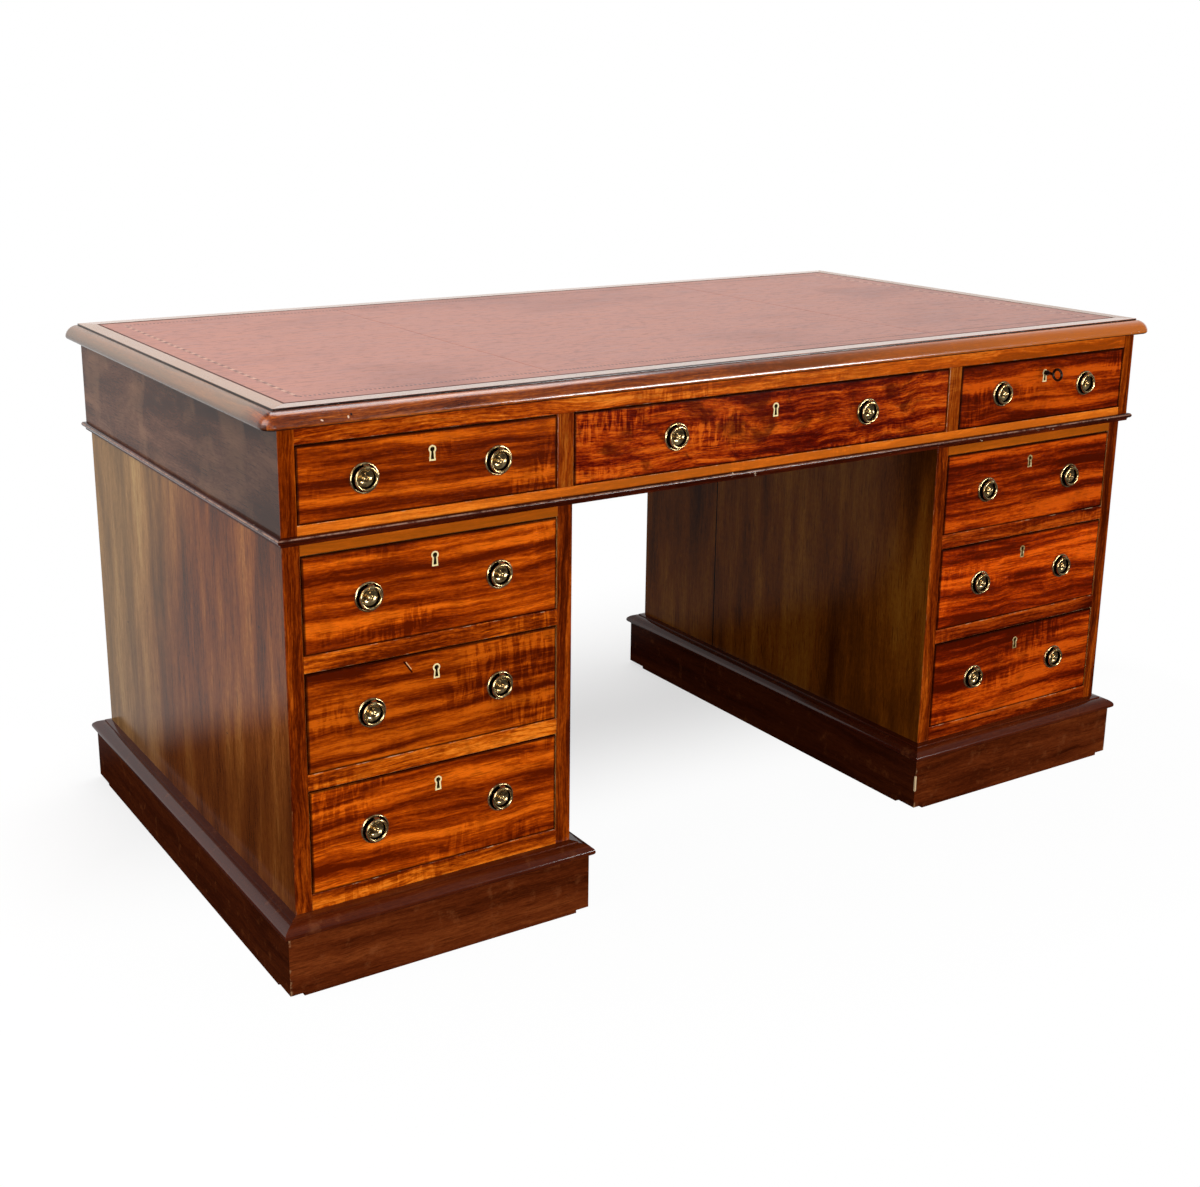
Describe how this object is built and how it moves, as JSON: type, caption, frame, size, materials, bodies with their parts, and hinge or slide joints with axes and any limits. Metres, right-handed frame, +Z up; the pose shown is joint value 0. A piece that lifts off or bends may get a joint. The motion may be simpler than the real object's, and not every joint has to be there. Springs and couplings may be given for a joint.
{
  "type": "pedestal desk",
  "caption": "Leather-topped mahogany pedestal desk with a moulded top, sliding drawers with ring handles and a working lock, on two plinthed pedestals either side of a kneehole.",
  "frame": {"origin": "centre of the footprint, on the floor", "axes": "+X along the desk to the sitter's right, +Y from the drawer fronts to the back, +Z up"},
  "size_m": [1.566, 0.854, 0.775],
  "materials": {
    "mahogany": "French polished",
    "drawer_lining_oak": "bare, aged",
    "carcase_pine": "bare, aged",
    "leather": "worn, waxed",
    "aged_brass": "aged",
    "key_iron": "dark, worn"
  },
  "bodies": {
    "carcase": {"top_frame": "mahogany", "top_field_board": "carcase_pine", "leather_writing_surface": "leather", "upper_case_panels": "mahogany", "upper_case_front_frame": "mahogany", "upper_case_runners": "carcase_pine", "upper_case_bead": "mahogany", "left_pedestal_case": "mahogany", "left_pedestal_drawer_frame": "mahogany", "left_plinth": "mahogany", "right_pedestal_case": "mahogany", "right_pedestal_drawer_frame": "mahogany", "right_plinth": "mahogany"},
    "frieze_left_drawer": {"frieze_left_drawer_front": "mahogany", "frieze_left_drawer_box": "drawer_lining_oak", "frieze_left_drawer_brassware": "aged_brass"},
    "frieze_left_drawer_left_bail": {"frieze_left_drawer_left_bail": "aged_brass"},
    "frieze_left_drawer_right_bail": {"frieze_left_drawer_right_bail": "aged_brass"},
    "frieze_centre_drawer": {"frieze_centre_drawer_front": "mahogany", "frieze_centre_drawer_box": "drawer_lining_oak", "frieze_centre_drawer_brassware": "aged_brass"},
    "frieze_centre_drawer_left_bail": {"frieze_centre_drawer_left_bail": "aged_brass"},
    "frieze_centre_drawer_right_bail": {"frieze_centre_drawer_right_bail": "aged_brass"},
    "frieze_right_drawer": {"frieze_right_drawer_front": "mahogany", "frieze_right_drawer_box": "drawer_lining_oak", "frieze_right_drawer_brassware": "aged_brass"},
    "frieze_right_drawer_left_bail": {"frieze_right_drawer_left_bail": "aged_brass"},
    "frieze_right_drawer_right_bail": {"frieze_right_drawer_right_bail": "aged_brass"},
    "left_upper_drawer": {"left_upper_drawer_front": "mahogany", "left_upper_drawer_box": "drawer_lining_oak", "left_upper_drawer_brassware": "aged_brass"},
    "left_upper_drawer_left_bail": {"left_upper_drawer_left_bail": "aged_brass"},
    "left_upper_drawer_right_bail": {"left_upper_drawer_right_bail": "aged_brass"},
    "left_middle_drawer": {"left_middle_drawer_front": "mahogany", "left_middle_drawer_box": "drawer_lining_oak", "left_middle_drawer_brassware": "aged_brass"},
    "left_middle_drawer_left_bail": {"left_middle_drawer_left_bail": "aged_brass"},
    "left_middle_drawer_right_bail": {"left_middle_drawer_right_bail": "aged_brass"},
    "left_lower_drawer": {"left_lower_drawer_front": "mahogany", "left_lower_drawer_box": "drawer_lining_oak", "left_lower_drawer_brassware": "aged_brass"},
    "left_lower_drawer_left_bail": {"left_lower_drawer_left_bail": "aged_brass"},
    "left_lower_drawer_right_bail": {"left_lower_drawer_right_bail": "aged_brass"},
    "right_upper_drawer": {"right_upper_drawer_front": "mahogany", "right_upper_drawer_box": "drawer_lining_oak", "right_upper_drawer_brassware": "aged_brass"},
    "right_upper_drawer_left_bail": {"right_upper_drawer_left_bail": "aged_brass"},
    "right_upper_drawer_right_bail": {"right_upper_drawer_right_bail": "aged_brass"},
    "right_middle_drawer": {"right_middle_drawer_front": "mahogany", "right_middle_drawer_box": "drawer_lining_oak", "right_middle_drawer_brassware": "aged_brass"},
    "right_middle_drawer_left_bail": {"right_middle_drawer_left_bail": "aged_brass"},
    "right_middle_drawer_right_bail": {"right_middle_drawer_right_bail": "aged_brass"},
    "right_lower_drawer": {"right_lower_drawer_front": "mahogany", "right_lower_drawer_box": "drawer_lining_oak", "right_lower_drawer_brassware": "aged_brass"},
    "right_lower_drawer_left_bail": {"right_lower_drawer_left_bail": "aged_brass"},
    "right_lower_drawer_right_bail": {"right_lower_drawer_right_bail": "aged_brass"},
    "drawer_key": {"drawer_key": "key_iron"},
    "lock_bolt": {"frieze_right_drawer_sliding_bolt": "aged_brass"}
  },
  "joints": [
    {"name": "frieze_left_drawer_slide", "type": "slide", "parent": "carcase", "child": "frieze_left_drawer", "axis": [0, -1, 0], "range_m": [0, 0.5]},
    {"name": "frieze_left_drawer_left_bail_swing", "type": "hinge", "parent": "frieze_left_drawer", "child": "frieze_left_drawer_left_bail", "pos_m": [-0.648, -0.408, 0.69195], "axis": [-1, 0, 0], "range_deg": [0, 150]},
    {"name": "frieze_left_drawer_right_bail_swing", "type": "hinge", "parent": "frieze_left_drawer", "child": "frieze_left_drawer_right_bail", "pos_m": [-0.458, -0.408, 0.69195], "axis": [-1, 0, 0], "range_deg": [0, 150]},
    {"name": "frieze_centre_drawer_slide", "type": "slide", "parent": "carcase", "child": "frieze_centre_drawer", "axis": [0, -1, 0], "range_m": [0, 0.5]},
    {"name": "frieze_centre_drawer_left_bail_swing", "type": "hinge", "parent": "frieze_centre_drawer", "child": "frieze_centre_drawer_left_bail", "pos_m": [-0.175, -0.408, 0.69195], "axis": [-1, 0, 0], "range_deg": [0, 150]},
    {"name": "frieze_centre_drawer_right_bail_swing", "type": "hinge", "parent": "frieze_centre_drawer", "child": "frieze_centre_drawer_right_bail", "pos_m": [0.175, -0.408, 0.69195], "axis": [-1, 0, 0], "range_deg": [0, 150]},
    {"name": "frieze_right_drawer_slide", "type": "slide", "parent": "carcase", "child": "frieze_right_drawer", "axis": [0, -1, 0], "range_m": [0, 0.5]},
    {"name": "frieze_right_drawer_left_bail_swing", "type": "hinge", "parent": "frieze_right_drawer", "child": "frieze_right_drawer_left_bail", "pos_m": [0.458, -0.408, 0.69195], "axis": [-1, 0, 0], "range_deg": [0, 150]},
    {"name": "frieze_right_drawer_right_bail_swing", "type": "hinge", "parent": "frieze_right_drawer", "child": "frieze_right_drawer_right_bail", "pos_m": [0.648, -0.408, 0.69195], "axis": [-1, 0, 0], "range_deg": [0, 150]},
    {"name": "left_upper_drawer_slide", "type": "slide", "parent": "carcase", "child": "left_upper_drawer", "axis": [0, -1, 0], "range_m": [0, 0.5]},
    {"name": "left_upper_drawer_left_bail_swing", "type": "hinge", "parent": "left_upper_drawer", "child": "left_upper_drawer_left_bail", "pos_m": [-0.64125, -0.398, 0.5348], "axis": [-1, 0, 0], "range_deg": [0, 150]},
    {"name": "left_upper_drawer_right_bail_swing", "type": "hinge", "parent": "left_upper_drawer", "child": "left_upper_drawer_right_bail", "pos_m": [-0.45125, -0.398, 0.5348], "axis": [-1, 0, 0], "range_deg": [0, 150]},
    {"name": "left_middle_drawer_slide", "type": "slide", "parent": "carcase", "child": "left_middle_drawer", "axis": [0, -1, 0], "range_m": [0, 0.5]},
    {"name": "left_middle_drawer_left_bail_swing", "type": "hinge", "parent": "left_middle_drawer", "child": "left_middle_drawer_left_bail", "pos_m": [-0.64125, -0.398, 0.3785], "axis": [-1, 0, 0], "range_deg": [0, 150]},
    {"name": "left_middle_drawer_right_bail_swing", "type": "hinge", "parent": "left_middle_drawer", "child": "left_middle_drawer_right_bail", "pos_m": [-0.45125, -0.398, 0.3785], "axis": [-1, 0, 0], "range_deg": [0, 150]},
    {"name": "left_lower_drawer_slide", "type": "slide", "parent": "carcase", "child": "left_lower_drawer", "axis": [0, -1, 0], "range_m": [0, 0.5]},
    {"name": "left_lower_drawer_left_bail_swing", "type": "hinge", "parent": "left_lower_drawer", "child": "left_lower_drawer_left_bail", "pos_m": [-0.64125, -0.398, 0.2152], "axis": [-1, 0, 0], "range_deg": [0, 150]},
    {"name": "left_lower_drawer_right_bail_swing", "type": "hinge", "parent": "left_lower_drawer", "child": "left_lower_drawer_right_bail", "pos_m": [-0.45125, -0.398, 0.2152], "axis": [-1, 0, 0], "range_deg": [0, 150]},
    {"name": "right_upper_drawer_slide", "type": "slide", "parent": "carcase", "child": "right_upper_drawer", "axis": [0, -1, 0], "range_m": [0, 0.5]},
    {"name": "right_upper_drawer_left_bail_swing", "type": "hinge", "parent": "right_upper_drawer", "child": "right_upper_drawer_left_bail", "pos_m": [0.45125, -0.398, 0.5348], "axis": [-1, 0, 0], "range_deg": [0, 150]},
    {"name": "right_upper_drawer_right_bail_swing", "type": "hinge", "parent": "right_upper_drawer", "child": "right_upper_drawer_right_bail", "pos_m": [0.64125, -0.398, 0.5348], "axis": [-1, 0, 0], "range_deg": [0, 150]},
    {"name": "right_middle_drawer_slide", "type": "slide", "parent": "carcase", "child": "right_middle_drawer", "axis": [0, -1, 0], "range_m": [0, 0.5]},
    {"name": "right_middle_drawer_left_bail_swing", "type": "hinge", "parent": "right_middle_drawer", "child": "right_middle_drawer_left_bail", "pos_m": [0.45125, -0.398, 0.3785], "axis": [-1, 0, 0], "range_deg": [0, 150]},
    {"name": "right_middle_drawer_right_bail_swing", "type": "hinge", "parent": "right_middle_drawer", "child": "right_middle_drawer_right_bail", "pos_m": [0.64125, -0.398, 0.3785], "axis": [-1, 0, 0], "range_deg": [0, 150]},
    {"name": "right_lower_drawer_slide", "type": "slide", "parent": "carcase", "child": "right_lower_drawer", "axis": [0, -1, 0], "range_m": [0, 0.5]},
    {"name": "right_lower_drawer_left_bail_swing", "type": "hinge", "parent": "right_lower_drawer", "child": "right_lower_drawer_left_bail", "pos_m": [0.45125, -0.398, 0.2152], "axis": [-1, 0, 0], "range_deg": [0, 150]},
    {"name": "right_lower_drawer_right_bail_swing", "type": "hinge", "parent": "right_lower_drawer", "child": "right_lower_drawer_right_bail", "pos_m": [0.64125, -0.398, 0.2152], "axis": [-1, 0, 0], "range_deg": [0, 150]},
    {"name": "key_turn", "type": "hinge", "parent": "frieze_right_drawer", "child": "drawer_key", "pos_m": [0.553, -0.4, 0.703], "axis": [0, 1, 0], "range_deg": [0, 360]},
    {"name": "lock_bolt_throw", "type": "slide", "parent": "frieze_right_drawer", "child": "lock_bolt", "axis": [0, 0, 1], "range_m": [0, 0.008]}
  ],
  "couplings": [
    {"joint": "lock_bolt_throw", "follows": "key_turn", "m_per_rad": 0.001273}
  ]
}
